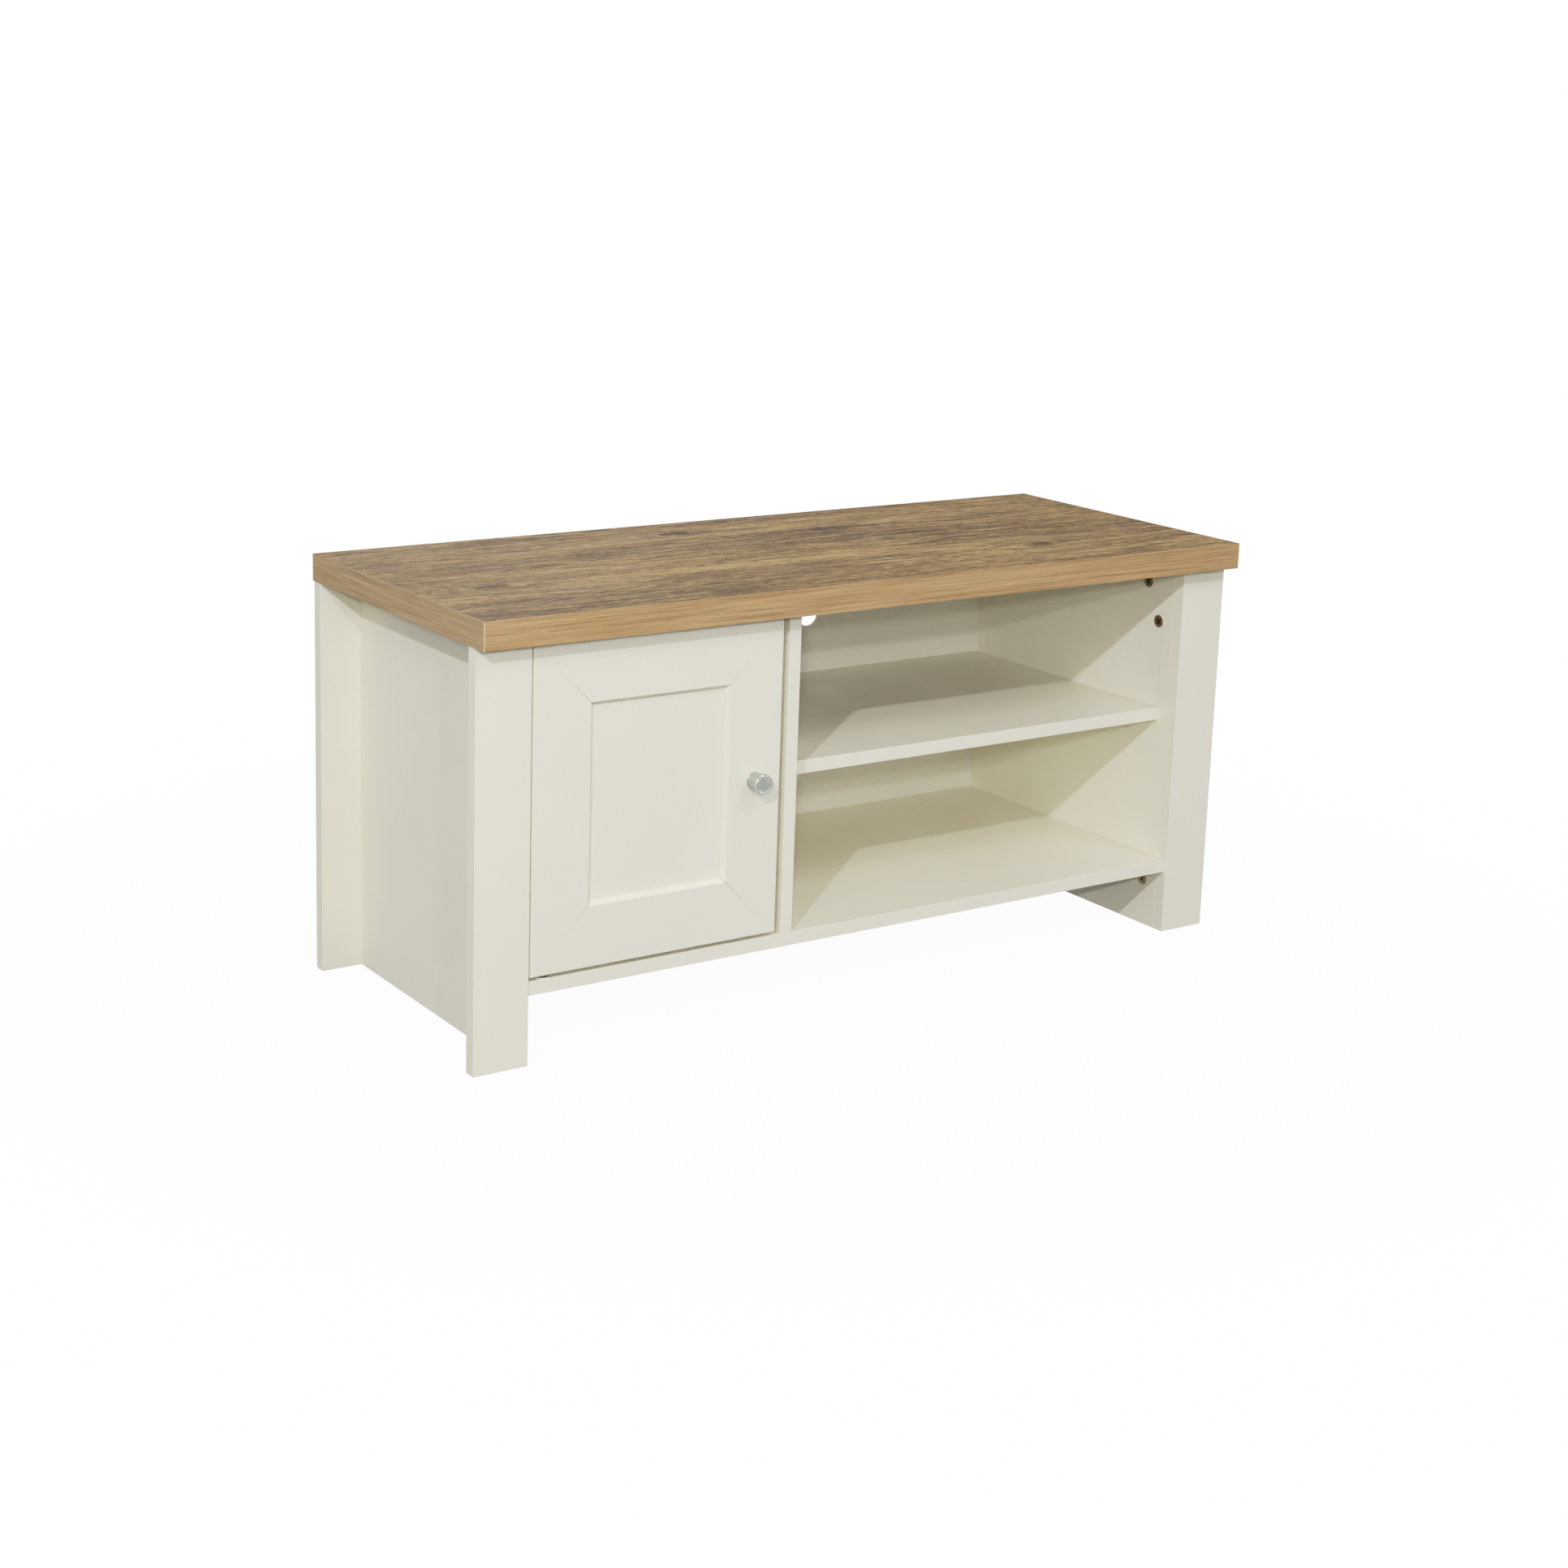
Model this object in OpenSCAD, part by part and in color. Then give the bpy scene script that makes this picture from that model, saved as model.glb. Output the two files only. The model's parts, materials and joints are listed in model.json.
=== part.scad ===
// TV stand with one framed cupboard door at the left and two open bays at the right.
// The origin is on the floor under the middle of the stand. +Z is up and the front faces -Y.

/* [Top] */
// Width of the top
top_w = 1000; // [900:10:1200]
// Depth of the top
top_d = 395; // [360:5:450]
// Thickness of the top
top_t = 30; // [25:1:40]
// Thickness of the edge bands glued round the top
band_t = 1; // [0.5:0.5:2]
// How far the top stands out past the legs at each end
end_overhang = 2; // [0:1:20]
// How far the top stands out in front of the legs
front_overhang = 21; // [15:1:40]

/* [Carcass] */
// Height from the floor to the top's upper face
stand_h = 474; // [440:2:560]
// Thickness of every carcass board
board_t = 15; // [15:1:18]
// Width of each leg board
leg_w = 63; // [50:1:90]
// Height of the bottom panel's underside above the floor
floor_gap = 74; // [70:1:100]
// How far the bottom panel and the divider sit behind the legs' front
panel_setback = 3; // [0:1:4]
// Clear width of the cupboard
cupboard_w = 311.5; // [290:0.5:330]
// Height of the shelf's underside above the floor
shelf_z = 256.5; // [220:0.5:300]
// How far the shelf sits behind the legs' front
shelf_setback = 30; // [5:1:60]
// Thickness of the back panel
back_t = 3; // [3:0.5:5]
// Diameter of the cable hole in the back panel
cable_hole_d = 30; // [20:1:50]
// Height of the cable hole's centre above the floor
cable_hole_z = 345; // [340:1:380]

/* [Door] */
// Thickness of the door's frame
door_t = 18; // [16:1:20]
// Gap between the door and the left leg
gap_left = 2.5; // [2.5:0.5:4]
// Gap between the door and the divider
gap_right = 9; // [2:0.5:12]
// Gap between the door and the top
gap_top = 3; // [2:0.5:5]
// Gap between the door and the bottom panel
gap_bottom = 4.5; // [4:0.5:8]
// Width of the door's stiles and rails on their face
frame_w = 66; // [60:1:80]
// Width of the sloped edge inside the frame
slope_w = 4; // [2:0.5:6]
// Depth of the centre panel behind the frame's face
recess_d = 6; // [4:0.5:7]
// Thickness of the centre panel
centre_t = 5; // [3:0.5:6]
// Radius of the frame's outer front edges
edge_r = 2; // [1:0.5:3]

/* [Pivots, knob and catch] */
// Distance of the pivot from the door's left edge
pivot_inset = 18; // [16:1:24]
// Distance of the pivot behind the door's face
pivot_depth = 10; // [9:0.5:11]
// Diameter of the pivot pins
pivot_d = 6; // [5:0.5:6]
// Largest diameter of the knob
knob_d = 22; // [18:1:30]
// Length of the knob
knob_l = 20; // [16:1:20]
// Width of the magnetic catch
catch_w = 40; // [34:1:46]

/* [Fixings] */
// Diameter of a cam lock
cam_d = 15; // [12:1:15]
// Thickness of a cam lock
cam_h = 12; // [10:0.5:12]
// Distance of a cam lock's centre from the joint
cam_inset = 24; // [20:1:34]
// Diameter of a dowel
dowel_d = 8; // [6:1:8]
// Distance between a cam bolt and the dowel beside it
dowel_step = 32; // [24:1:40]
// Spacing of the back panel's nails, at most
nail_step = 130; // [80:5:200]

/* [Hidden] */
$fn = 48;
CREAM = "#E2DFD2";
OAK = "#A98A62";
OAK_BAND = "#BC9B6C";
BRONZE = "#4A3B2C";
STEEL = "#B9BABC";
CHROME = "#C9CBCE";
BEECH = "#D9BC8C";
PLASTIC = "#E8E8E4";

// A bore is this much wider in radius than the fixing or pin in it
fit_gap = 0.1;
// Radial running clearance of a pivot pin in its bush
run_gap = 0.06;
// Small overlap that lets a cutting shape reach past a face
past = 1;

// Carcass planes
front_y = -(top_d + back_t) / 2;
rear_y = front_y + top_d;
leg_y = front_y + front_overhang;
inner_x = top_w / 2 - end_overhang - leg_w;
under_top = stand_h - top_t;
side_y0 = leg_y + board_t;
side_y1 = rear_y - board_t;
panel_y = leg_y + panel_setback;
floor_z = floor_gap + board_t;
divider_x0 = -inner_x + cupboard_w;
divider_x1 = divider_x0 + board_t;
shelf_y = leg_y + shelf_setback;
bay_mid_x = (divider_x1 + inner_x) / 2;

// Door planes
door_x0 = -inner_x + gap_left;
door_w = cupboard_w - gap_left - gap_right;
door_z0 = floor_z + gap_bottom;
door_h = under_top - gap_top - door_z0;
door_back_y = leg_y + door_t;
member_w = frame_w + slope_w;
groove_d = 8;
groove_gap = 0.1;
lip_t = 1;
key_r = 3;
key_l = 30;
key_at = frame_w / 2 + 3;
key_depth = door_t / 2 + 2.5;

// Pivots
pivot_x = door_x0 + pivot_inset;
pivot_y = leg_y + pivot_depth;
pin_sunk = 18;
pin_out = 8;
bush_wall = 1.5;
bush_r = pivot_d / 2 + run_gap + bush_wall;
bush_l = 10;
flange_r = bush_r + 2;
flange_t = 1.2;
collar_gap = 0.3;

// Knob and its screw
knob_foot_r = 9.6;
knob_waist_r = 8.9;
knob_head_z = knob_l * 0.68;
knob_chamfer = 1.5;
knob_x = door_x0 + door_w - frame_w / 2;
knob_z = door_z0 + door_h / 2;
screw_r = 2;
screw_head_r = 4;
screw_head_t = 2;
screw_grip = 9;

// Catch under the top, its magnet, and the strike plate on the door
catch_x = door_x0 + door_w - 28;
catch_h = 14;
catch_d = 16;
strike_t = 1.2;
strike_w = 26;
strike_h = 20;
strike_hole_z = 5;
strike_z = door_z0 + door_h - 2 - strike_h;
catch_y = door_back_y + strike_t + 0.4;
magnet = [20, 12, 7];
catch_hole_r = 1.8;
catch_hole_step = catch_w - 10;
small_head_r = 3;
small_head_t = 1.6;

// Places along a joint line where the cam locks go, measured from the board's two ends
near_edge = 45;
leg_cam_low = 56;
leg_cam_high = under_top - 69;

// Cam lock and bolt
bolt_head_r = 3.2;
bolt_neck_r = 1.8;
bolt_shank_r = 3;
bolt_thread_r = 2.5;
bolt_thread_l = 11;
dowel_deep = 19;
dowel_mate = 9;
recess_w = 1.8;
recess_l = 9;
recess_deep = 1.5;

// Back panel
back_edge = 15;
back_x = inner_x + leg_w - back_edge;
back_z0 = floor_gap + 2;
back_lap = 12;
back_z1 = under_top + back_lap;
nail_r = 0.7;
nail_head_r = 1.6;
nail_head_t = 0.8;
nail_l = 16;

// A fixing is [place on the board's face, turn of that face, turn of the bolt, side of the dowel].
// Its own axes have +Z out of the face and +X along the bolt.
FACE_LEFT = [0, -90, 0];
FACE_DOWN = [180, 0, 0];
cam_y0 = side_y0 + near_edge;
cam_y1 = side_y1 - near_edge;
shelf_cam_y0 = shelf_y + near_edge;

side_to_legs = [
    [[inner_x, side_y0 + cam_inset, leg_cam_low], FACE_LEFT, -90, 1],
    [[inner_x, side_y0 + cam_inset, leg_cam_high], FACE_LEFT, -90, -1],
    [[inner_x, side_y1 - cam_inset, leg_cam_low], FACE_LEFT, 90, -1],
    [[inner_x, side_y1 - cam_inset, leg_cam_high], FACE_LEFT, 90, 1]
];
side_to_top = [
    [[inner_x, cam_y0, under_top - cam_inset], FACE_LEFT, 0, 1],
    [[inner_x, cam_y1, under_top - cam_inset], FACE_LEFT, 0, -1]
];
bottom_to_side = [
    [[inner_x - cam_inset, cam_y0, floor_gap], FACE_DOWN, 0, -1],
    [[inner_x - cam_inset, cam_y1, floor_gap], FACE_DOWN, 0, 1]
];
divider_to_top = [
    [[divider_x0, cam_y0, under_top - cam_inset], FACE_LEFT, 0, 1],
    [[divider_x0, cam_y1, under_top - cam_inset], FACE_LEFT, 0, -1]
];
divider_to_bottom = [
    [[divider_x0, cam_y0, floor_z + cam_inset], FACE_LEFT, 180, -1],
    [[divider_x0, cam_y1, floor_z + cam_inset], FACE_LEFT, 180, 1]
];
shelf_to_side = [
    [[inner_x - cam_inset, shelf_cam_y0, shelf_z], FACE_DOWN, 0, -1],
    [[inner_x - cam_inset, cam_y1, shelf_z], FACE_DOWN, 0, 1]
];
shelf_to_divider = [
    [[divider_x1 + cam_inset, shelf_cam_y0, shelf_z], FACE_DOWN, 180, 1],
    [[divider_x1 + cam_inset, cam_y1, shelf_z], FACE_DOWN, 180, -1]
];
paired_fixings = concat(side_to_legs, side_to_top, bottom_to_side);
single_fixings = concat(divider_to_top, divider_to_bottom, shelf_to_side, shelf_to_divider);

// ---- Shared shapes ----

// A box between two corners
module block(lo, hi) {
    translate(lo)
        cube(hi - lo);
}

// A round bar along +X from x0 to x1
module bar(r, x0, x1) {
    translate([x0, 0, 0])
        rotate([0, 90, 0])
            cylinder(r = r, h = x1 - x0);
}

// Puts a shape given in a fixing's own axes at each fixing of a list
module at_fixings(list) {
    for (f = list)
        translate(f[0])
            rotate(f[1])
                rotate([0, 0, f[2]])
                    children();
}

// Puts the dowel shape beside each fixing of a list
module at_dowels(list) {
    for (f = list)
        translate(f[0])
            rotate(f[1])
                rotate([0, 0, f[2]])
                    translate([cam_inset, f[3] * dowel_step, -board_t / 2])
                        children();
}

// Repeats a right-hand shape at the left end too
module both_ends() {
    children();
    mirror([1, 0, 0])
        children();
}

// Round seat for the cam, bore for the bolt and pilot hole for its thread
module cam_bores(list) {
    at_fixings(list) {
        translate([0, 0, -cam_h - fit_gap])
            cylinder(r = cam_d / 2 + fit_gap, h = cam_h + past);
        translate([0, 0, -board_t / 2])
            bar(bolt_shank_r + 2 * fit_gap, 0, cam_inset);
        translate([0, 0, -board_t / 2])
            bar(bolt_thread_r + fit_gap, cam_inset - past, cam_inset + bolt_thread_l + fit_gap);
    }
    at_dowels(list)
        bar(dowel_d / 2 + fit_gap, -dowel_deep - fit_gap, dowel_mate + fit_gap);
}

// ---- Top ----

module top_panel() {
    color(OAK)
        difference() {
            block([-top_w / 2 + band_t, front_y + band_t, under_top],
                [top_w / 2 - band_t, rear_y - band_t, stand_h]);
            both_ends()
                cam_bores(side_to_top);
            cam_bores(divider_to_top);
            translate([pivot_x, pivot_y, under_top - past])
                cylinder(r = bush_r + fit_gap, h = bush_l + past + fit_gap);
        }
}

module top_band_front() {
    color(OAK_BAND)
        block([-top_w / 2 + band_t, front_y, under_top],
            [top_w / 2 - band_t, front_y + band_t, stand_h]);
}

module top_band_rear() {
    color(OAK_BAND)
        block([-top_w / 2 + band_t, rear_y - band_t, under_top],
            [top_w / 2 - band_t, rear_y, stand_h]);
}

module top_band_right() {
    color(OAK_BAND)
        block([top_w / 2 - band_t, front_y, under_top], [top_w / 2, rear_y, stand_h]);
}

module top_band_left() {
    mirror([1, 0, 0])
        top_band_right();
}

// ---- Ends ----

// Front leg board at the right, standing flat to the front
module leg_front_right() {
    color(CREAM)
        difference() {
            block([inner_x, leg_y, 0], [inner_x + leg_w, leg_y + board_t, under_top]);
            cam_bores(side_to_legs);
        }
}

module leg_front_left() {
    mirror([1, 0, 0])
        leg_front_right();
}

module leg_rear_right() {
    color(CREAM)
        difference() {
            block([inner_x, rear_y - board_t, 0], [inner_x + leg_w, rear_y, under_top]);
            cam_bores(side_to_legs);
        }
}

module leg_rear_left() {
    mirror([1, 0, 0])
        leg_rear_right();
}

// Side panel without the shelf's holes, at the right
module side_board() {
    difference() {
        block([inner_x, side_y0, 0], [inner_x + board_t, side_y1, under_top]);
        cam_bores(paired_fixings);
    }
}

module side_panel_right() {
    color(CREAM)
        difference() {
            side_board();
            cam_bores(shelf_to_side);
        }
}

module side_panel_left() {
    color(CREAM)
        mirror([1, 0, 0])
            side_board();
}

// ---- Inside boards ----

module bottom_panel() {
    color(CREAM)
        difference() {
            block([-inner_x, panel_y, floor_gap], [inner_x, rear_y, floor_z]);
            both_ends()
                cam_bores(bottom_to_side);
            cam_bores(divider_to_bottom);
            translate([pivot_x, pivot_y, floor_z - bush_l - fit_gap])
                cylinder(r = bush_r + fit_gap, h = bush_l + past + fit_gap);
        }
}

module divider() {
    color(CREAM)
        difference() {
            block([divider_x0, panel_y, floor_z], [divider_x1, rear_y, under_top]);
            cam_bores(concat(divider_to_top, divider_to_bottom, shelf_to_divider));
        }
}

module shelf() {
    color(CREAM)
        difference() {
            block([divider_x1, shelf_y, shelf_z], [inner_x, rear_y, shelf_z + board_t]);
            cam_bores(concat(shelf_to_side, shelf_to_divider));
        }
}

module back_panel() {
    color(CREAM)
        difference() {
            block([-back_x, rear_y, back_z0], [back_x, rear_y + back_t, back_z1]);
            translate([bay_mid_x, rear_y - past, cable_hole_z])
                rotate([-90, 0, 0])
                    cylinder(d = cable_hole_d, h = back_t + 2 * past);
        }
}

// ---- Door ----

// Section of a frame member: across from its outer edge, and back from its face
function member_section() = concat(
    [for (a = [180 : 15 : 270]) edge_r * [1 + cos(a), 1 + sin(a)]],
    [
        [frame_w, 0],
        [member_w, recess_d - lip_t],
        [member_w, recess_d - groove_gap],
        [member_w - groove_d, recess_d - groove_gap],
        [member_w - groove_d, recess_d + centre_t + groove_gap],
        [member_w, recess_d + centre_t + groove_gap],
        [member_w, door_t],
        [0, door_t]
    ]
);

// Prism through the door with an outline given from its lower left corner
module door_prism(outline) {
    translate([0, door_t + past, 0])
        rotate([90, 0, 0])
            linear_extrude(height = door_t + 2 * past)
                polygon(outline);
}

// Dowel shape across the mitre at the door's lower left corner
module corner_key(r, l) {
    translate([key_at, key_depth, key_at])
        rotate([0, 45, 0])
            translate([-l / 2, 0, 0])
                bar(r, 0, l);
}

// Puts a shape given from the door's lower left corner at all four corners
module door_corners() {
    for (right = [0, 1])
        for (upper = [0, 1])
            translate([right * door_w, 0, upper * door_h])
                mirror([right, 0, 0])
                    mirror([0, 0, upper])
                        children();
}

module knob_bore() {
    translate([knob_x - door_x0, -past, knob_z - door_z0])
        rotate([-90, 0, 0])
            cylinder(r = screw_r + 2 * fit_gap, h = door_t + 2 * past);
}

module pivot_bores() {
    translate([pivot_inset, pivot_depth, -past])
        cylinder(r = pivot_d / 2 + fit_gap, h = pin_sunk + past + fit_gap);
    translate([pivot_inset, pivot_depth, door_h - pin_sunk - fit_gap])
        cylinder(r = pivot_d / 2 + fit_gap, h = pin_sunk + past + fit_gap);
}

// Places a frame member and takes out the bores that cross it
module door_member() {
    color(CREAM)
        translate([door_x0, leg_y, door_z0])
            difference() {
                children();
                door_corners()
                    corner_key(key_r + fit_gap, key_l + 2 * fit_gap);
                pivot_bores();
                knob_bore();
            }
}

// Left stile from the door's lower left corner, mitred at both ends
module stile() {
    reach = member_w + past;
    intersection() {
        linear_extrude(height = door_h)
            polygon(member_section());
        door_prism([[0, 0], [reach, reach], [reach, door_h - reach], [0, door_h]]);
    }
}

// Bottom rail from the door's lower left corner, mitred at both ends
module rail() {
    reach = member_w + past;
    intersection() {
        rotate([90, 0, 90])
            linear_extrude(height = door_w)
                polygon([for (p = member_section()) [p[1], p[0]]]);
        door_prism([[0, 0], [door_w, 0], [door_w - reach, reach], [reach, reach]]);
    }
}

module door_stile_left() {
    door_member()
        stile();
}

module door_stile_right() {
    door_member()
        translate([door_w, 0, 0])
            mirror([1, 0, 0])
                stile();
}

module door_rail_bottom() {
    door_member()
        rail();
}

module door_rail_top() {
    door_member()
        translate([0, 0, door_h])
            mirror([0, 0, 1])
                rail();
}

module door_centre_panel() {
    inset = member_w - groove_d + groove_gap;
    color(CREAM)
        translate([door_x0, leg_y, door_z0])
            block([inset, recess_d, inset], [door_w - inset, recess_d + centre_t, door_h - inset]);
}

module door_corner_dowels() {
    color(BEECH)
        translate([door_x0, leg_y, door_z0])
            door_corners()
                corner_key(key_r, key_l);
}

// ---- Knob ----

// Outline of the knob, radius against distance from the door's face: a slim waist and a thick head
function knob_outline() = [
    [0, 0],
    [knob_foot_r, 0],
    [knob_foot_r, 0.8],
    [knob_foot_r - 0.5, 1.6],
    [knob_waist_r + 0.2, knob_l * 0.3],
    [knob_waist_r, knob_l * 0.5],
    [knob_waist_r + 0.3, knob_head_z - 0.6],
    [knob_d / 2 - 0.5, knob_head_z],
    [knob_d / 2, knob_head_z + 0.5],
    [knob_d / 2, knob_l - knob_chamfer],
    [knob_d / 2 - knob_chamfer, knob_l - 0.2],
    [knob_d / 2 - knob_chamfer - 0.4, knob_l],
    [0, knob_l]
];

module knob() {
    color(CHROME)
        translate([knob_x, leg_y, knob_z])
            rotate([90, 0, 0])
                difference() {
                    rotate_extrude($fn = 64)
                        polygon(knob_outline());
                    translate([0, 0, -past])
                        cylinder(r = screw_r + fit_gap, h = screw_grip + past + fit_gap);
                }
}

module knob_screw() {
    color(STEEL)
        translate([knob_x, door_back_y, knob_z])
            rotate([90, 0, 0])
                difference() {
                    union() {
                        translate([0, 0, -screw_head_t])
                            cylinder(r = screw_head_r, h = screw_head_t);
                        cylinder(r = screw_r, h = door_t + screw_grip);
                    }
                    for (a = [0, 90])
                        rotate([0, 0, a])
                            translate([-2, -0.5, -screw_head_t - past])
                                cube([4, 1, past + 1.2]);
                }
}

// ---- Pivots ----

module pivot_pin_bottom() {
    collar_z = floor_z + flange_t + collar_gap;
    color(STEEL)
        translate([pivot_x, pivot_y, 0]) {
            translate([0, 0, floor_z - pin_out])
                cylinder(d = pivot_d, h = pin_out + gap_bottom + pin_sunk);
            translate([0, 0, collar_z])
                cylinder(r = flange_r, h = door_z0 - collar_z);
        }
}

module pivot_pin_top() {
    color(STEEL)
        translate([pivot_x, pivot_y, door_z0 + door_h - pin_sunk])
            cylinder(d = pivot_d, h = pin_sunk + gap_top + pin_out);
}

// Flanged bush with its flange at z = 0 to flange_t and its body below
module bush() {
    color(PLASTIC)
        difference() {
            union() {
                translate([0, 0, -bush_l])
                    cylinder(r = bush_r, h = bush_l);
                cylinder(r = flange_r, h = flange_t);
            }
            translate([0, 0, -pin_out - 0.5])
                cylinder(r = pivot_d / 2 + run_gap, h = pin_out + 0.5 + flange_t + past);
        }
}

module pivot_bush_bottom() {
    translate([pivot_x, pivot_y, floor_z])
        bush();
}

module pivot_bush_top() {
    translate([pivot_x, pivot_y, under_top])
        mirror([0, 0, 1])
            bush();
}

// ---- Magnetic catch ----

module catch_housing() {
    lo = [catch_x - catch_w / 2, catch_y, under_top - catch_h];
    color(PLASTIC)
        difference() {
            block(lo, lo + [catch_w, catch_d, catch_h]);
            translate([catch_x - magnet[0] / 2 - fit_gap, catch_y - past, under_top - catch_h + 3])
                cube([magnet[0] + 2 * fit_gap, magnet[1] + past + fit_gap, magnet[2] + 2 * fit_gap]);
            for (s = [-1, 1])
                translate([catch_x + s * catch_hole_step / 2, catch_y + catch_d / 2, 0]) {
                    translate([0, 0, under_top - catch_h - past])
                        cylinder(r = catch_hole_r, h = catch_h + 2 * past);
                    translate([0, 0, under_top - catch_h - past])
                        cylinder(r = small_head_r + 2 * fit_gap, h = catch_h - 4 + past);
                }
        }
}

module catch_magnet() {
    color("#3A3A3C")
        translate([catch_x - magnet[0] / 2, catch_y, under_top - catch_h + 3 + fit_gap])
            cube(magnet);
}

// Small countersunk wood screw with its head at z = 0 and its point at +Z
module small_screw(l) {
    difference() {
        union() {
            cylinder(r = small_head_r, h = small_head_t);
            cylinder(r = 1.5, h = l - 3);
            translate([0, 0, l - 3])
                cylinder(r1 = 1.5, r2 = 0.2, h = 3);
        }
        for (a = [0, 90])
            rotate([0, 0, a])
                translate([-1.7, -0.4, -past])
                    cube([3.4, 0.8, past + 1]);
    }
}

module catch_screws() {
    color(STEEL)
        for (s = [-1, 1])
            translate([
                catch_x + s * catch_hole_step / 2,
                catch_y + catch_d / 2,
                under_top - 4 - small_head_t
            ])
                small_screw(16);
}

module strike_plate() {
    color(STEEL)
        difference() {
            block([catch_x - strike_w / 2, door_back_y, strike_z],
                [catch_x + strike_w / 2, door_back_y + strike_t, strike_z + strike_h]);
            translate([catch_x, door_back_y - past, strike_z + strike_hole_z])
                rotate([-90, 0, 0])
                    cylinder(r = catch_hole_r, h = strike_t + 2 * past);
        }
}

module strike_screw() {
    color(STEEL)
        translate([catch_x, door_back_y + strike_t + small_head_t, strike_z + strike_hole_z])
            rotate([90, 0, 0])
                small_screw(12);
}

// ---- Fixings ----

// Round lock that pulls the bolt's head in; a cross in its face takes the screwdriver
module cam() {
    difference() {
        translate([0, 0, -cam_h])
            cylinder(d = cam_d, h = cam_h);
        translate([0, 0, -board_t / 2])
            bar(bolt_head_r + 2 * fit_gap, 0, cam_d);
        for (a = [0, 90])
            rotate([0, 0, a + 45])
                translate([-recess_l / 2, -recess_w / 2, -recess_deep])
                    cube([recess_l, recess_w, recess_deep + past]);
    }
}

// Bolt with a head inside the cam and a thread in the other board
module cam_bolt() {
    translate([0, 0, -board_t / 2]) {
        bar(bolt_head_r, 0.5, 2.6);
        bar(bolt_neck_r, 2, 6);
        bar(bolt_shank_r, 6, cam_inset);
        bar(bolt_thread_r, cam_inset - 0.5, cam_inset + bolt_thread_l);
    }
}

module cam_locks() {
    color(BRONZE) {
        both_ends()
            at_fixings(paired_fixings)
                cam();
        at_fixings(single_fixings)
            cam();
    }
}

module cam_bolts() {
    color(STEEL) {
        both_ends()
            at_fixings(paired_fixings)
                cam_bolt();
        at_fixings(single_fixings)
            cam_bolt();
    }
}

module dowels() {
    color(BEECH) {
        both_ends()
            at_dowels(paired_fixings)
                bar(dowel_d / 2, -dowel_deep, dowel_mate);
        at_dowels(single_fixings)
            bar(dowel_d / 2, -dowel_deep, dowel_mate);
    }
}

// Nail through the back panel with its head flush
module nail(x, z) {
    translate([x, rear_y + back_t, z])
        rotate([90, 0, 0]) {
            cylinder(r = nail_head_r, h = nail_head_t, $fn = 24);
            cylinder(r = nail_r, h = nail_l, $fn = 24);
        }
}

// A row of nails between two points of the back panel, evenly spaced
module nail_row(from, to) {
    count = ceil(norm(to - from) / nail_step);
    for (i = [0 : count])
        nail((from + (to - from) * i / count)[0], (from + (to - from) * i / count)[1]);
}

module back_nails() {
    leg_x = inner_x + leg_w / 2;
    low = floor_gap + board_t / 2;
    high = under_top + back_lap / 2;
    edge = 25;
    color(STEEL) {
        both_ends()
            nail_row([leg_x, low + edge], [leg_x, back_z1 - edge]);
        nail_row([-inner_x, high], [inner_x, high]);
        nail_row([-inner_x + edge, low], [inner_x - edge, low]);
        nail_row([divider_x0 + board_t / 2, floor_z + 2 * edge],
            [divider_x0 + board_t / 2, back_z1 - edge]);
        nail_row([divider_x1 + 2 * edge, shelf_z + board_t / 2],
            [inner_x - edge, shelf_z + board_t / 2]);
    }
}

top_panel();
top_band_front();
top_band_rear();
top_band_left();
top_band_right();
leg_front_left();
leg_front_right();
leg_rear_left();
leg_rear_right();
side_panel_left();
side_panel_right();
bottom_panel();
divider();
shelf();
back_panel();
door_stile_left();
door_stile_right();
door_rail_top();
door_rail_bottom();
door_centre_panel();
door_corner_dowels();
knob();
knob_screw();
pivot_pin_top();
pivot_pin_bottom();
pivot_bush_top();
pivot_bush_bottom();
catch_housing();
catch_magnet();
catch_screws();
strike_plate();
strike_screw();
cam_locks();
cam_bolts();
dowels();
back_nails();
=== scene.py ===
import json
import math

import bmesh
import bpy
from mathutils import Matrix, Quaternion, Vector


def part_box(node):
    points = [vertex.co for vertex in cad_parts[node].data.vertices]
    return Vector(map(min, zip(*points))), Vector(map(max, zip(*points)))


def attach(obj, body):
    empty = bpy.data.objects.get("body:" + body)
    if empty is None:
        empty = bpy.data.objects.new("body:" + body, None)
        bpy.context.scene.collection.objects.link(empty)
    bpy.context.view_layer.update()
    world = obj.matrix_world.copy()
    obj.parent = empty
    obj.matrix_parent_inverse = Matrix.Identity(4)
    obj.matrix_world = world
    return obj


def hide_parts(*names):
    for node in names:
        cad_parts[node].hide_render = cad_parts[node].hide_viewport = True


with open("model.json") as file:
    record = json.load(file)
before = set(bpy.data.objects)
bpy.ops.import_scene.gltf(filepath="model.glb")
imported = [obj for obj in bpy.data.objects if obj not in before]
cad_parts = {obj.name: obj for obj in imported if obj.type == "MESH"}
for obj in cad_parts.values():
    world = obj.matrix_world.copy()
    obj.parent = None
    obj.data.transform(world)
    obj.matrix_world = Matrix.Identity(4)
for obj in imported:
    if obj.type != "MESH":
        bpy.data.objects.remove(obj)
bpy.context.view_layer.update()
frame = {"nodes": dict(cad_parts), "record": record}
scene = bpy.context.scene


# ---- Node helpers ----

MIX_COLOURS, MIX_RESULT = (6, 7), 2  # sockets of a Mix node that mixes colours


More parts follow.
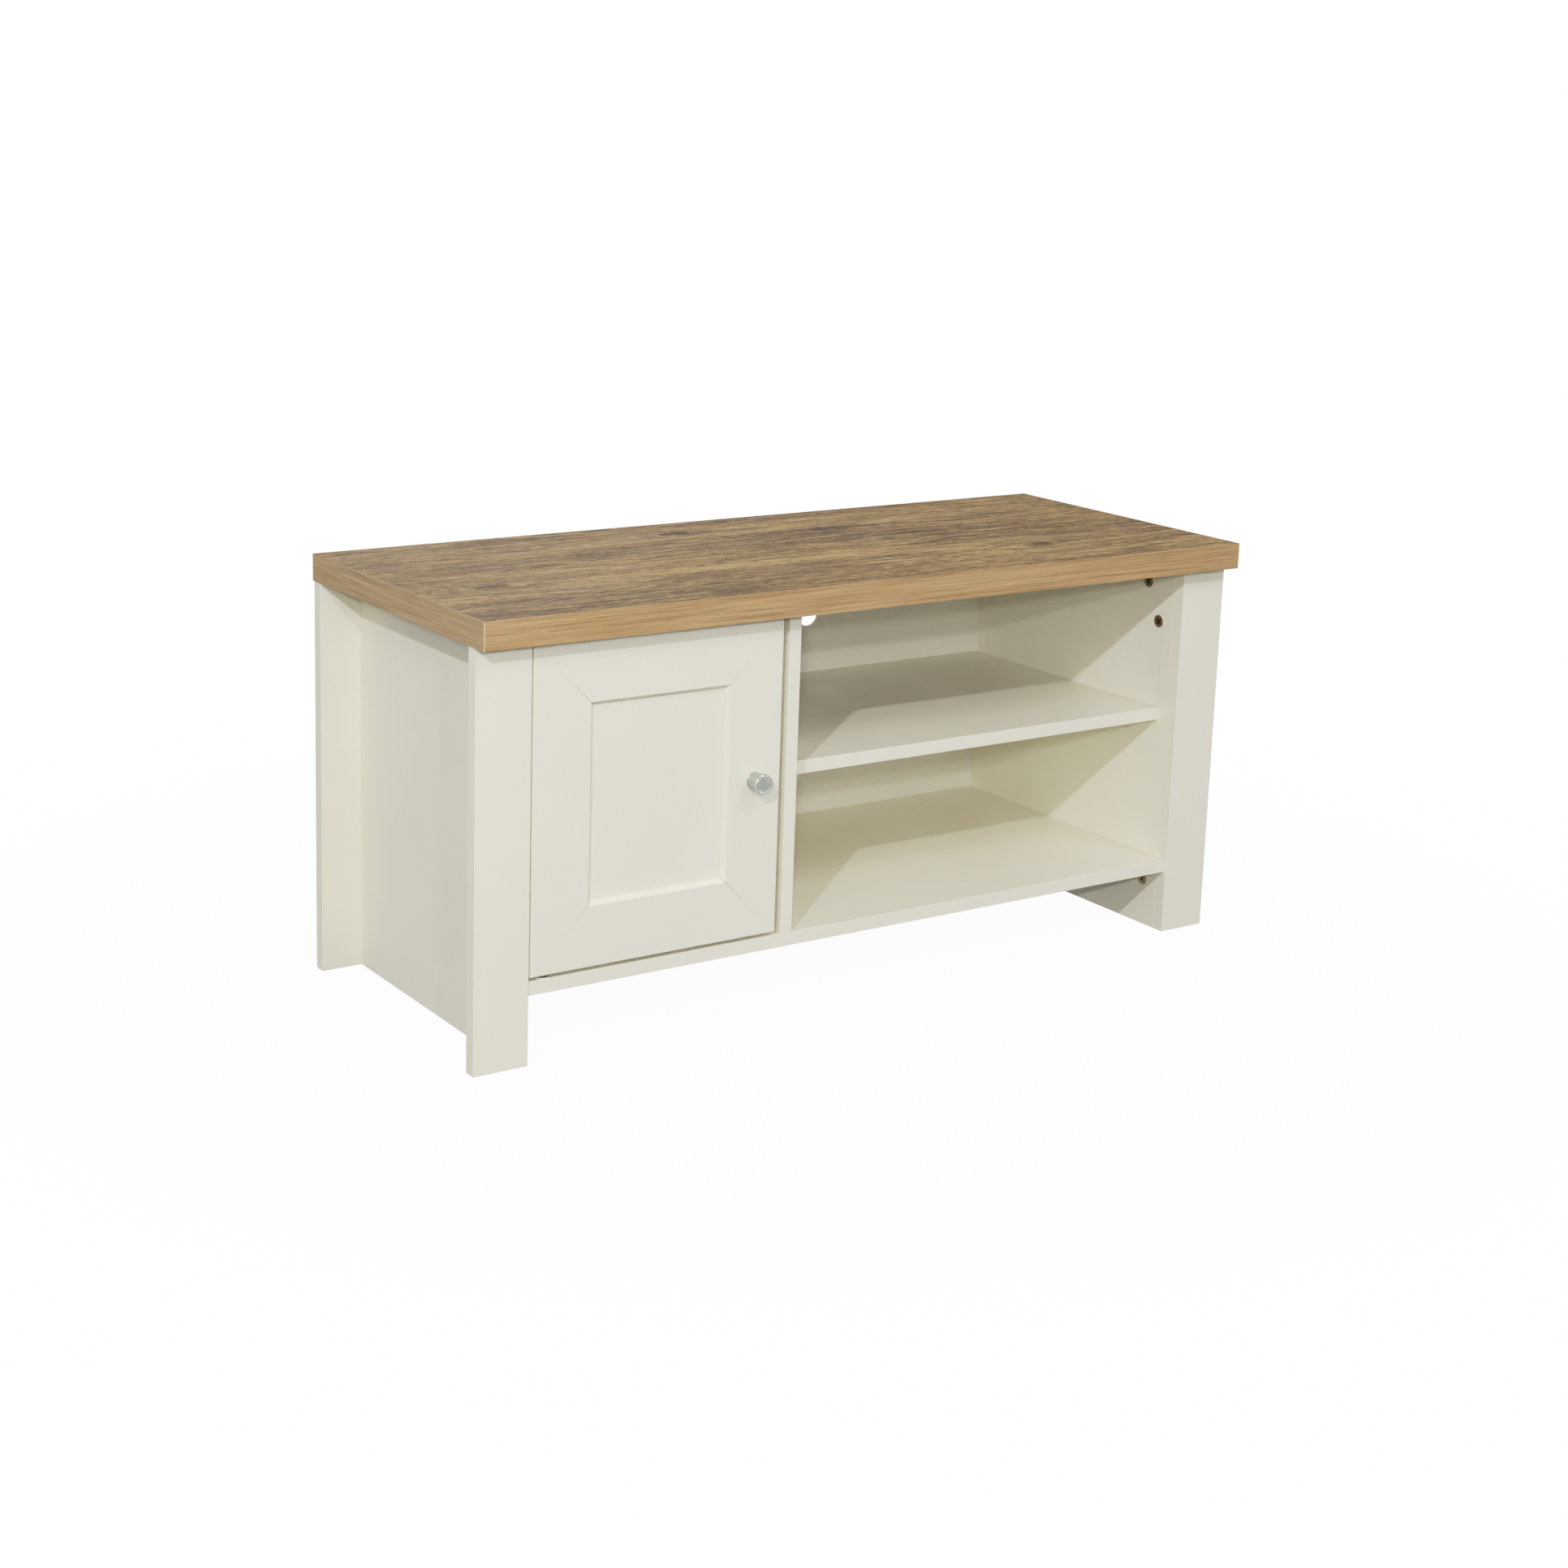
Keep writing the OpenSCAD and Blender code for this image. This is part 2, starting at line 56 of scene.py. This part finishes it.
class Shader:
    """A new node material, with short calls to add and link its nodes."""

    def __init__(self, name):
        self.material = bpy.data.materials.new(name)
        self.material.use_nodes = True
        self.tree = self.material.node_tree
        self.principled = self.tree.nodes["Principled BSDF"]

    def add(self, kind, inputs=None, **settings):
        """A new node with its settings made and its inputs set or linked."""
        node = self.tree.nodes.new(kind)
        for key, value in settings.items():
            setattr(node, key, value)
        for key, value in (inputs or {}).items():
            self.put(node.inputs[key], value)
        return node

    def put(self, socket, value):
        """Links an output to a socket, or sets the socket's own value."""
        if isinstance(value, bpy.types.NodeSocket):
            self.tree.links.new(value, socket)
        else:
            socket.default_value = value

    def set(self, **values):
        """Sets or links inputs of the Principled shader, named with _ for a space."""
        for key, value in values.items():
            self.put(self.principled.inputs[key.replace("_", " ")], value)

    def place(self):
        """Position in the row's frame, in metres."""
        return self.add("ShaderNodeTexCoord").outputs["Object"]

    def split(self, vector):
        """The X, Y and Z outputs of a vector."""
        return self.add("ShaderNodeSeparateXYZ", {"Vector": vector}).outputs

    def math(self, operation, a, b=0.0):
        """One math node. An operation on a alone ignores b."""
        return self.add("ShaderNodeMath", {0: a, 1: b}, operation=operation).outputs[0]

    def total(self, *parts):
        """Sum of (value, weight) pairs, each value times its weight."""
        result = 0.0
        for value, weight in parts:
            result = self.math("ADD", result, self.math("MULTIPLY", value, weight))
        return result

    def squares(self, a, b):
        """a squared plus b squared."""
        return self.math("ADD", self.math("MULTIPLY", a, a), self.math("MULTIPLY", b, b))

    def stretch(self, vector, scale, offset=(0, 0, 0)):
        inputs = {"Vector": vector, "Scale": scale, "Location": offset}
        return self.add("ShaderNodeMapping", inputs).outputs[0]

    def noise(self, vector, scale, detail, roughness=0.5):
        inputs = {"Vector": vector, "Scale": scale, "Detail": detail, "Roughness": roughness}
        return self.add("ShaderNodeTexNoise", inputs).outputs["Fac"]

    def grain(self, vector, along, across, detail, roughness=0.5, offset=(0, 0, 0), axis=0):
        """Noise drawn out along an axis, with so many features a metre along and across it."""
        scale = [across, across, across]
        scale[axis] = along
        return self.noise(self.stretch(vector, scale, offset), 1.0, detail, roughness)

    def span(self, value, lo, hi, to_lo=0.0, to_hi=1.0):
        """Maps lo..hi to to_lo..to_hi and clamps."""
        ends = {"From Min": lo, "From Max": hi, "To Min": to_lo, "To Max": to_hi}
        return self.add("ShaderNodeMapRange", {"Value": value, **ends}, clamp=True).outputs[0]

    def ramp(self, value, stops):
        """Colour ramp through [(position, linear rgb), ...]."""
        node = self.add("ShaderNodeValToRGB", {"Fac": value})
        elements = node.color_ramp.elements
        while len(elements) < len(stops):
            elements.new(0.5)
        for element, (at, rgb) in zip(elements, stops):
            element.position = at
            element.color = (*rgb, 1)
        return node.outputs["Color"]

    def mix(self, factor, a, b):
        """Colour from a, at factor 0, to b, at factor 1. Each is an output or a linear rgb."""
        node = self.add("ShaderNodeMix", {0: factor}, data_type="RGBA")
        for at, value in zip(MIX_COLOURS, (a, b)):
            self.put(node.inputs[at], (*value, 1) if isinstance(value, tuple) else value)
        return node.outputs[MIX_RESULT]

    def bump(self, height, distance, strength=1.0):
        inputs = {"Height": height, "Distance": distance, "Strength": strength}
        self.set(Normal=self.add("ShaderNodeBump", inputs).outputs[0])


def srgb(*channels):
    """Linear colour of a screen colour given in 0 to 255."""
    return tuple(
        ((v / 255 + 0.055) / 1.055) ** 2.4 if v > 10 else v / 255 / 12.92 for v in channels)


def scaled(rgb, shares):
    """The colour times one share, or times one share for each channel."""
    if not isinstance(shares, tuple):
        shares = (shares,) * 3
    return tuple(min(1, v * share) for v, share in zip(rgb, shares))


# ---- Materials ----

KNOTS = (  # place along and across the top, half length and half width, in metres
    (-0.415, -0.050, 0.016, 0.0050),
    (-0.075, 0.135, 0.012, 0.0045),
    (0.285, -0.100, 0.016, 0.0070),
    (0.095, 0.085, 0.014, 0.0035),
)
KNOT_DECAY = 2.718  # base of the fall in tone from a knot's middle outwards
CORE_FALL, CORE_DARK = -0.7, 0.26
HALO_FALL, HALO_DARK, HALO_BEND = -0.06, 0.07, 1.2
ARCHES = (0.080, -0.140)  # middle of the arched figure
ARCH_SQUASH = 0.16  # width over length of an arch
ARCH_RINGS = 1300  # radians of ring pattern a metre


def round_knots(s, x, y, bent):
    """Grain position bent round the knots, and the darkness that the knots add."""
    dark = 0.0
    for knot_x, knot_y, half_length, half_width in KNOTS:
        dx = s.math("DIVIDE", s.math("SUBTRACT", x, knot_x), half_length)
        dy = s.math("DIVIDE", s.math("SUBTRACT", y, knot_y), half_width)
        reach = s.squares(dx, dy)
        core = s.math("POWER", KNOT_DECAY, s.math("MULTIPLY", reach, CORE_FALL))
        halo = s.math("POWER", KNOT_DECAY, s.math("MULTIPLY", reach, HALO_FALL))
        aside = s.math("MULTIPLY", s.math("MULTIPLY", dy, halo), half_width * HALO_BEND)
        bent = s.math("SUBTRACT", bent, aside)
        dark = s.math("ADD", dark, s.total((halo, HALO_DARK), (core, CORE_DARK)))
    return bent, dark


def arched_rings(s, x, bent, zones):
    """Fine rings of the one arched figure, which fade away from its middle."""
    arch_x = s.math("MULTIPLY", s.math("SUBTRACT", x, ARCHES[0]), ARCH_SQUASH)
    arch_y = s.math("SUBTRACT", bent, ARCHES[1])
    arch = s.math("SQRT", s.squares(arch_x, arch_y))
    rings = s.math("SINE", s.total((arch, ARCH_RINGS), (zones, 6)))
    return s.math("MULTIPLY", rings, s.span(arch, 0.004, 0.026, 0.08, 0.0))


def oak_top():
    """Brown oak decor: long streaks, pale and dark veins, knots and one arched figure."""
    s = Shader("oak_top")
    place = s.place()
    x, y, z = s.split(place)
    wander = s.grain(place, along=1.6, across=5, detail=2)
    ripple = s.grain(place, along=12, across=45, detail=2)
    bent = s.math("ADD", y, s.math("MULTIPLY", s.math("SUBTRACT", wander, 0.5), 0.05))
    bent = s.math("ADD", bent, s.math("MULTIPLY", s.math("SUBTRACT", ripple, 0.5), 0.003))
    bent, dark = round_knots(s, x, y, bent)
    bent_place = s.add("ShaderNodeCombineXYZ", {"X": x, "Y": bent, "Z": z}).outputs[0]

    def layer(along, across, detail, roughness=0.5, offset=(0, 0, 0)):
        return s.grain(bent_place, along, across, detail, roughness, offset)

    broad = layer(0.8, 7, detail=1, offset=(2, 5, 0))
    zones = layer(2.4, 22, detail=2)
    streaks = layer(10, 170, detail=6, roughness=0.70)
    flecks = layer(55, 120, detail=5, roughness=0.95, offset=(7, 0, 0))
    lines = layer(9, 420, detail=4, roughness=0.7)
    fibres = layer(80, 1300, detail=2, roughness=0.6)
    tone = s.total(
        (zones, 0.36), (streaks, 0.75), (broad, 0.30),
        (flecks, 0.95), (lines, 0.48), (fibres, 0.22))
    rings = arched_rings(s, x, bent, zones)
    tone = s.span(s.math("ADD", s.math("SUBTRACT", tone, dark), rings), 1.325, 1.735)

    hue = layer(3.5, 18, detail=3, offset=(3, 1, 0))
    umber = s.ramp(tone, [
        (0.0, srgb(60, 41, 23)), (0.35, srgb(105, 80, 47)),
        (0.65, srgb(133, 106, 65)), (1.0, srgb(167, 139, 91))])
    straw = s.ramp(tone, [
        (0.0, srgb(68, 47, 25)), (0.35, srgb(113, 87, 48)),
        (0.65, srgb(142, 114, 67)), (1.0, srgb(176, 147, 92))])
    colour = s.mix(s.span(hue, 0.40, 0.62), umber, straw)
    pale = layer(9, 150, detail=5, roughness=0.65, offset=(0, 7, 0))
    colour = s.mix(s.span(pale, 0.57, 0.64, 0.0, 0.6), colour, srgb(182, 150, 93))
    clumps = s.span(layer(4, 30, detail=3, offset=(9, 2, 0)), 0.42, 0.62)
    deep = layer(26, 240, detail=4, roughness=0.65, offset=(5, 3, 0))
    dashes = s.math("MULTIPLY", s.span(deep, 0.56, 0.62, 0.0, 0.8), clumps)
    colour = s.mix(dashes, colour, srgb(60, 42, 26))
    gloss = s.span(streaks, 0.3, 0.7, 0.62, 0.5)
    s.set(Base_Color=colour, Roughness=gloss, Specular_IOR_Level=0.06)
    s.bump(s.total((fibres, 0.6), (dashes, -0.5)), 0.00015)
    return s.material


def painted_corner_highlight(s, place, colour):
    """Painted highlight: a pale line painted at each corner of the top, along the edge where an end
    band is cut.
    """
    low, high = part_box("top_band_left")
    middle, half = (low[1] + high[1]) / 2, (high[1] - low[1]) / 2
    from_middle = s.math("ABSOLUTE", s.math("SUBTRACT", s.split(place)["Y"], middle))
    line = s.span(from_middle, half - 0.0007, half - 0.0003, 0.0, 0.75)
    return s.mix(line, colour, srgb(226, 202, 158))


def oak_band(name, axis, tint):
    """Edge band with a fine straight grain along X (axis 0) or Y (axis 1)."""
    s = Shader(name)
    place = s.place()
    lines = s.grain(place, along=8, across=1250, detail=3, roughness=0.65, axis=axis)
    streaks = s.grain(place, along=9, across=320, detail=4, roughness=0.7, axis=axis)
    broad = s.grain(place, along=2, across=90, detail=2, axis=axis)
    pores = s.grain(place, along=90, across=2400, detail=2, axis=axis)
    tone = s.total((lines, 0.6), (streaks, 0.5), (broad, 0.12), (pores, 0.2))
    stops = ((0.0, srgb(142, 110, 71)), (0.5, srgb(172, 139, 95)), (1.0, srgb(194, 163, 116)))
    colour = s.ramp(s.span(tone, 0.55, 0.87), [(at, scaled(rgb, tint)) for at, rgb in stops])
    if axis == 1:
        # painted highlight along the corners of the top
        colour = painted_corner_highlight(s, place, colour)
    gloss = s.span(lines, 0.3, 0.7, 0.6, 0.45)
    s.set(Base_Color=colour, Roughness=gloss, Specular_IOR_Level=0.25)
    s.bump(s.math("ADD", lines, pores), 0.00006)
    return s.material


def mitre_hairlines(s, place, colour):
    """A hairline joint at each corner of the door, clear inside and faint at the outer corner."""
    stile_low, stile_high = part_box("door_stile_left")
    _, door_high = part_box("door_stile_right")
    half = [(door_high[axis] - stile_low[axis]) / 2 for axis in range(3)]
    middle = [(door_high[axis] + stile_low[axis]) / 2 for axis in range(3)]
    x, _, z = s.split(place)
    from_middle_x = s.math("ABSOLUTE", s.math("SUBTRACT", x, middle[0]))
    from_middle_z = s.math("ABSOLUTE", s.math("SUBTRACT", z, middle[2]))
    rise = s.math("SUBTRACT", from_middle_z, from_middle_x)
    off_joint = s.math("ABSOLUTE", s.math("SUBTRACT", rise, half[2] - half[0]))
    stile_width = stile_high[0] - stile_low[0]
    inner = half[0] - stile_width
    fading = s.span(from_middle_x, inner, inner + 0.6 * stile_width, 0.75, 0.06)
    hairline = s.math("MULTIPLY", s.span(off_joint, 0.0003, 0.0006, 1.0, 0.0), fading)
    return s.mix(hairline, colour, srgb(120, 112, 96))


def foil(name, rgb, roughness=0.33, mitred=False):
    """Smooth painted-look foil: faint mottling, very fine orange peel, slight wear in gloss."""
    s = Shader(name)
    place = s.place()
    mottle = s.noise(place, 9, 4)
    peel = s.noise(place, 900, 2)
    smears = s.noise(s.stretch(place, (6, 6, 14)), 1, 4, 0.6)
    colour = s.mix(s.span(mottle, 0.35, 0.65), scaled(rgb, 0.98), scaled(rgb, 1.015))
    if mitred:
        colour = mitre_hairlines(s, place, colour)
    gloss = s.span(smears, 0.3, 0.7, roughness - 0.05, roughness + 0.06)
    s.set(Base_Color=colour, Roughness=gloss, Specular_IOR_Level=0.45)
    s.bump(peel, 0.00003, 0.6)
    return s.material


def metal(name, rgb, roughness, satin_from=None, painted_recess_shade=False):
    """Bare or plated metal with fine tool marks and small spots of wear.

    From y = satin_from backwards it is darker and rougher. It may also get painted shade: its colour
    darkens in recesses found by ambient occlusion.
    """
    s = Shader(name)
    place = s.place()
    marks = s.noise(place, 1200, 3, 0.6)
    spots = s.noise(place, 160, 4)
    colour = s.mix(s.span(spots, 0.5, 0.75), rgb, scaled(rgb, 1.25))
    gloss = s.span(marks, 0.3, 0.7, roughness * 0.8, roughness * 1.25)
    if satin_from is not None:
        behind = s.span(s.split(place)["Y"], satin_from, satin_from + 0.0005)
        colour = s.mix(behind, colour, scaled(rgb, (0.60, 0.64, 0.71)))
        gloss = s.math("ADD", gloss, s.math("MULTIPLY", behind, 0.2))
    if painted_recess_shade:
        # painted shade: the colour darkens in small recesses, such as a cam's slot, found by ambient
        # occlusion
        sky = s.add("ShaderNodeAmbientOcclusion", {"Distance": 0.003}, samples=16, only_local=True)
        colour = s.mix(s.span(sky.outputs["AO"], 0.55, 0.95), scaled(rgb, 0.15), colour)
    s.set(Base_Color=colour, Metallic=1.0, Roughness=gloss)
    s.bump(marks, 0.00001, 0.5)
    return s.material


def plastic(name, rgb):
    """Moulded plastic with a fine sparkle and faint mottling."""
    s = Shader(name)
    place = s.place()
    spark = s.noise(place, 1500, 2)
    mottle = s.noise(place, 60, 3)
    s.set(Base_Color=s.mix(s.span(mottle, 0.3, 0.7), scaled(rgb, 0.96), rgb))
    s.set(Roughness=s.span(spark, 0.3, 0.7, 0.38, 0.52))
    s.bump(spark, 0.00002)
    return s.material


def beech():
    """Bare beech of the dowels."""
    s = Shader("beech")
    place = s.place()
    fleck = s.noise(place, 420, 3)
    rings = s.noise(s.stretch(place, (60, 60, 400)), 1, 3)
    s.set(Base_Color=s.mix(s.span(rings, 0.3, 0.7), srgb(206, 170, 120), srgb(224, 192, 146)))
    s.set(Roughness=s.span(fleck, 0.3, 0.7, 0.6, 0.75))
    s.bump(fleck, 0.00004)
    return s.material


CREAM = srgb(240, 235, 212)
POLISHED_DEPTH = 0.0024  # polished front of the knob's head; the rest of it is satin
MATERIALS = {  # by the record's material slots
    "oak_top": oak_top(),
    "oak_band": oak_band("oak_band", 0, (0.94, 0.92, 0.96)),
    "cream_board": foil("cream_board", CREAM),
    "cream_door": foil("cream_door", CREAM),
    "back_board": foil("back_board", srgb(228, 224, 206), 0.55),
    "beech": beech(),
    "knob_metal": metal(
        "knob_metal", srgb(217, 223, 215), 0.09, satin_from=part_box("knob")[0][1] + POLISHED_DEPTH),
    "bright_steel": metal("bright_steel", srgb(190, 192, 195), 0.3),
    # the cams get painted shade in their recesses
    "bronze_cam": metal("bronze_cam", srgb(150, 131, 106), 0.4, painted_recess_shade=True),
    "white_plastic": plastic("white_plastic", srgb(236, 236, 230)),
    "magnet_block": metal("magnet_block", srgb(60, 60, 62), 0.5),
}
MITRED_DOOR = foil("mitred_door", CREAM, mitred=True)
# painted shade: the pivot pins get a dark steel so that they read as the shade in the door's gap
SHADED_PIN_STEEL = metal("pin_steel_painted_shade", srgb(96, 94, 90), 0.45)
END_BAND = oak_band("oak_band_ends", 1, (0.95, 1.0, 1.18))

BOARDS = (
    "leg_front_left", "leg_front_right", "leg_rear_left", "leg_rear_right",
    "side_panel_left", "side_panel_right", "bottom_panel", "divider", "shelf")
LONG_BANDS = ("top_band_front", "top_band_rear")
END_BANDS = ("top_band_left", "top_band_right")
DOOR_FRAME = ("door_stile_left", "door_stile_right", "door_rail_top", "door_rail_bottom")
PINS = ("pivot_pin_top", "pivot_pin_bottom")


def dress_nodes():
    """Gives every CAD node the material of its slot in the record, or its own variant of it."""
    for part in frame["record"]["subparts"]:
        mesh = frame["nodes"][part["node"]].data
        mesh.materials.clear()
        mesh.materials.append(MATERIALS[part["material_slot"]])
    for names, variant in ((DOOR_FRAME, MITRED_DOOR), (END_BANDS, END_BAND), (PINS, SHADED_PIN_STEEL)):
        for name in names:
            frame["nodes"][name].data.materials[0] = variant


# ---- Shapes ----

CREASE = math.radians(35)  # a sharper edge than this is kept sharp, or is bevelled
GRID = 1e5  # places closer than 1 / GRID metres count as one
SHORTEST_BEVEL = 0.008  # shorter edges, such as those round the bores, stay sharp


def soften(names, width):
    """Rounds the long sharp edges of CAD nodes a little with modifiers."""
    for name in names:
        node = frame["nodes"][name]
        mesh = node.data
        ends = [
            frozenset(tuple(round(v * GRID) for v in mesh.vertices[i].co) for i in edge.vertices)
            for edge in mesh.edges]
        normals = {}  # of the faces that meet at each edge
        for face in mesh.polygons:
            for loop in face.loop_indices:
                normals.setdefault(ends[mesh.loops[loop].edge_index], []).append(face.normal)
        weight = mesh.attributes.new("bevel_weight_edge", "FLOAT", "EDGE")
        for edge, key in zip(mesh.edges, ends):
            one, two = (mesh.vertices[i].co for i in edge.vertices)
            first = normals[key][0]
            sharp = min(first.dot(normal) for normal in normals[key]) < math.cos(CREASE)
            weight.data[edge.index].value = float(sharp and (one - two).length > SHORTEST_BEVEL)
        weld = node.modifiers.new("weld", "WELD")
        weld.merge_threshold = 1 / GRID
        bevel = node.modifiers.new("edges", "BEVEL")
        bevel.width = width
        bevel.segments = 2
        bevel.limit_method = "WEIGHT"
        bevel.use_clamp_overlap = True


def knob_outline(length, radius):
    """Half section of the knob: (distance from the door's face, radius) from its bore outwards."""
    bore, depth = 0.0021, 0.0095
    outline = [(depth, 0), (depth, bore), (0, bore)]
    outline += [(0, radius - 0.0015), (0.0007, radius - 0.0014), (0.0012, radius - 0.0018)]  # foot
    outline += [(0.30 * length, radius - 0.0018), (0.50 * length, radius - 0.0017)]  # body
    outline += [(0.66 * length, radius - 0.0014), (0.675 * length, radius - 0.0012)]
    outline += [(0.68 * length, radius - 0.0004), (0.70 * length, radius)]  # step under the head
    corner, steps = 0.0019, 6
    for step in range(steps + 1):
        turn = math.radians(90 / steps * step)
        distance = length - corner * (1 - math.sin(turn)) * 0.8
        outline.append((distance, radius - corner * (1 - math.cos(turn))))
    dish = 0.0005
    for sunk, inwards in ((0.0002, 0.0005), (0.0004, 0.0009), (dish, 0.0014)):
        outline.append((length - sunk, radius - corner - inwards))
    outline.append((length - dish, 0))
    return outline


def turned_knob():
    """The knob, finely turned: slim body, small step under the head, round rim, dished face."""
    low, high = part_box("knob")
    centre_x, centre_z = (low[0] + high[0]) / 2, (low[2] + high[2]) / 2
    sides = 72
    mesh = bpy.data.meshes.new("turned_knob")
    form = bmesh.new()
    rings = []
    for distance, radius in knob_outline(high[1] - low[1], (high[0] - low[0]) / 2):
        ring = []
        for k in range(sides if radius > 0 else 1):
            turn = math.tau * k / sides
            ring.append(form.verts.new((
                centre_x + radius * math.cos(turn), high[1] - distance,
                centre_z + radius * math.sin(turn))))
        rings.append(ring)
    for one, two in zip(rings, rings[1:]):
        for k in range(sides):
            corners = [
                one[k % len(one)], one[(k + 1) % len(one)],
                two[(k + 1) % len(two)], two[k % len(two)]]
            form.faces.new(list(dict.fromkeys(corners)))
    bmesh.ops.recalc_face_normals(form, faces=form.faces)
    for face in form.faces:
        face.smooth = True
    for edge in form.edges:
        edge.smooth = edge.calc_face_angle(0) < CREASE
    form.to_mesh(mesh)
    form.free()
    knob = bpy.data.objects.new("turned_knob", mesh)
    scene.collection.objects.link(knob)
    mesh.materials.append(MATERIALS["knob_metal"])
    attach(knob, "door")
    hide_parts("knob")


# ---- Stage ----

KNEE = 0.4  # tones above it are held back
SHOULDER = 3.0  # how strongly
PAPER_WHITE = 1 + SHOULDER * (1 - KNEE) ** 2  # the light that comes out white
CURVE_STEPS = 6

# The camera's place and lens come from a fit to the edges in the photo, with only a small shift.
LENS = 59.19
SHIFT = (0.03, -0.10)
EYE = (-1.6490, -2.3474, 0.9989)
LOOKED_AT = (-0.1930, -0.1780, 0.4355)
ROLL = math.radians(1.64)

LIT_CENTRE = Vector((0, 0, 0.25))
LIGHTS = (
    # name, azimuth from the front and elevation in degrees, distance and width in metres, watts
    ("flash", -36, 16.4, 2.85, 0.06, 12),
    ("key_front", -23.5, 20.6, 4.0, 0.08, 30),
    ("key_left", -48, 29.6, 4.0, 0.07, 67),
    ("high_front", 20, 48, 4.0, 1.1, 36),
    ("rear", 160, 35, 4.0, 1.5, 34),
    ("right", 100, 12, 4.0, 1.5, 40),
)
FILL_HORIZON, FILL_ZENITH = 1.3, 0.35  # strength of the light from all round
WHITE = (1, 1, 1, 1)

FLOOR_HALF = 20
FLOOR_DROP = -0.0004


def aim(obj, target, roll=0.0):
    direction = Vector(target) - obj.location
    obj.rotation_mode = "QUATERNION"
    obj.rotation_quaternion = direction.to_track_quat("-Z", "Y") @ Quaternion((0, 0, 1), roll)


def add_camera():
    data = bpy.data.cameras.new("camera")
    data.sensor_width = 36
    data.lens = LENS
    data.shift_x, data.shift_y = SHIFT
    data.clip_end = 100
    camera = bpy.data.objects.new("camera", data)
    scene.collection.objects.link(camera)
    camera.location = EYE
    aim(camera, LOOKED_AT, ROLL)
    scene.camera = camera


def add_softbox(name, azimuth, elevation, distance, width, power):
    """Round soft light aimed at the stand."""
    data = bpy.data.lights.new(name, "AREA")
    data.shape = "DISK"
    data.size = width
    data.energy = power
    light = bpy.data.objects.new(name, data)
    scene.collection.objects.link(light)
    a, e = math.radians(azimuth), math.radians(elevation)
    light.location = LIT_CENTRE + distance * Vector(
        (math.sin(a) * math.cos(e), -math.cos(a) * math.cos(e), math.sin(e)))
    aim(light, LIT_CENTRE)


def add_world():
    """Soft fill from all round, strongest at the horizon, in front of a white backdrop."""
    world = bpy.data.worlds.new("studio")
    world.use_nodes = True
    nodes, links = world.node_tree.nodes, world.node_tree.links
    fill = nodes["Background"]
    fill.inputs["Color"].default_value = WHITE
    sky = nodes.new("ShaderNodeTexCoord")
    up = nodes.new("ShaderNodeSeparateXYZ")
    fall = nodes.new("ShaderNodeMapRange")
    fall.inputs["To Min"].default_value = FILL_HORIZON
    fall.inputs["To Max"].default_value = FILL_ZENITH
    links.new(sky.outputs["Generated"], up.inputs[0])
    links.new(up.outputs["Z"], fall.inputs["Value"])
    links.new(fall.outputs[0], fill.inputs["Strength"])
    white = nodes.new("ShaderNodeBackground")
    white.inputs["Color"].default_value = WHITE
    white.inputs["Strength"].default_value = PAPER_WHITE
    path = nodes.new("ShaderNodeLightPath")
    mix = nodes.new("ShaderNodeMixShader")
    links.new(path.outputs["Is Camera Ray"], mix.inputs[0])
    links.new(fill.outputs[0], mix.inputs[1])
    links.new(white.outputs[0], mix.inputs[2])
    links.new(mix.outputs[0], nodes["World Output"].inputs[0])
    scene.world = world


def add_floor():
    """Pale floor, white to the eye, with a faint shadow under the stand. From below it is clear."""
    mesh = bpy.data.meshes.new("floor")
    corners = [(-1, -1), (1, -1), (1, 1), (-1, 1)]
    mesh.from_pydata(
        [(x * FLOOR_HALF, y * FLOOR_HALF, FLOOR_DROP) for x, y in corners], [], [(0, 1, 2, 3)])
    floor = bpy.data.objects.new("floor", mesh)
    scene.collection.objects.link(floor)
    s = Shader("floor")
    rays = s.add("ShaderNodeLightPath").outputs
    away = s.add("ShaderNodeVectorMath", {0: s.place()}, operation="LENGTH").outputs["Value"]
    s.set(Base_Color=(0.9, 0.9, 0.9, 1), Roughness=0.9, Specular_IOR_Level=0.1)
    lit = s.principled.outputs[0]
    white = s.add("ShaderNodeEmission", {"Color": WHITE, "Strength": PAPER_WHITE}).outputs[0]
    whiteness = s.span(away, 0.6, 1.4, 0.93, 1.0)
    seen = s.add("ShaderNodeMixShader", {0: whiteness, 1: lit, 2: white}).outputs[0]
    mirrored = s.span(rays["Is Glossy Ray"], 0, 1, 0.05, 0.55)
    dim = s.add("ShaderNodeEmission", {"Color": WHITE, "Strength": mirrored}).outputs[0]
    above = s.add("ShaderNodeMixShader", {0: rays["Is Camera Ray"], 1: dim, 2: seen}).outputs[0]
    below = s.add("ShaderNodeBsdfTransparent").outputs[0]
    side = s.add("ShaderNodeNewGeometry").outputs["Backfacing"]
    surface = s.add("ShaderNodeMixShader", {0: side, 1: above, 2: below}).outputs[0]
    s.put(s.tree.nodes["Material Output"].inputs["Surface"], surface)
    mesh.materials.append(s.material)


def film():
    """A gentle shoulder: tones over KNEE are held back, and PAPER_WHITE comes out white."""
    settings = scene.view_settings
    settings.view_transform = "Standard"
    settings.use_curve_mapping = True
    mapping = settings.curve_mapping
    mapping.clip_max_x = PAPER_WHITE
    curve = mapping.curves[3]  # all three channels
    curve.points[1].location = (PAPER_WHITE, 1.0)
    for step in range(CURVE_STEPS):
        shown = KNEE + (1 - KNEE) * step / CURVE_STEPS
        curve.points.new(shown + SHOULDER * (shown - KNEE) ** 2, shown)
    mapping.update()


dress_nodes()
soften(BOARDS, 0.0005)
soften(DOOR_FRAME, 0.0004)
soften(LONG_BANDS + END_BANDS, 0.0003)
turned_knob()
add_camera()
for light in LIGHTS:
    add_softbox(*light)
add_world()
add_floor()
film()
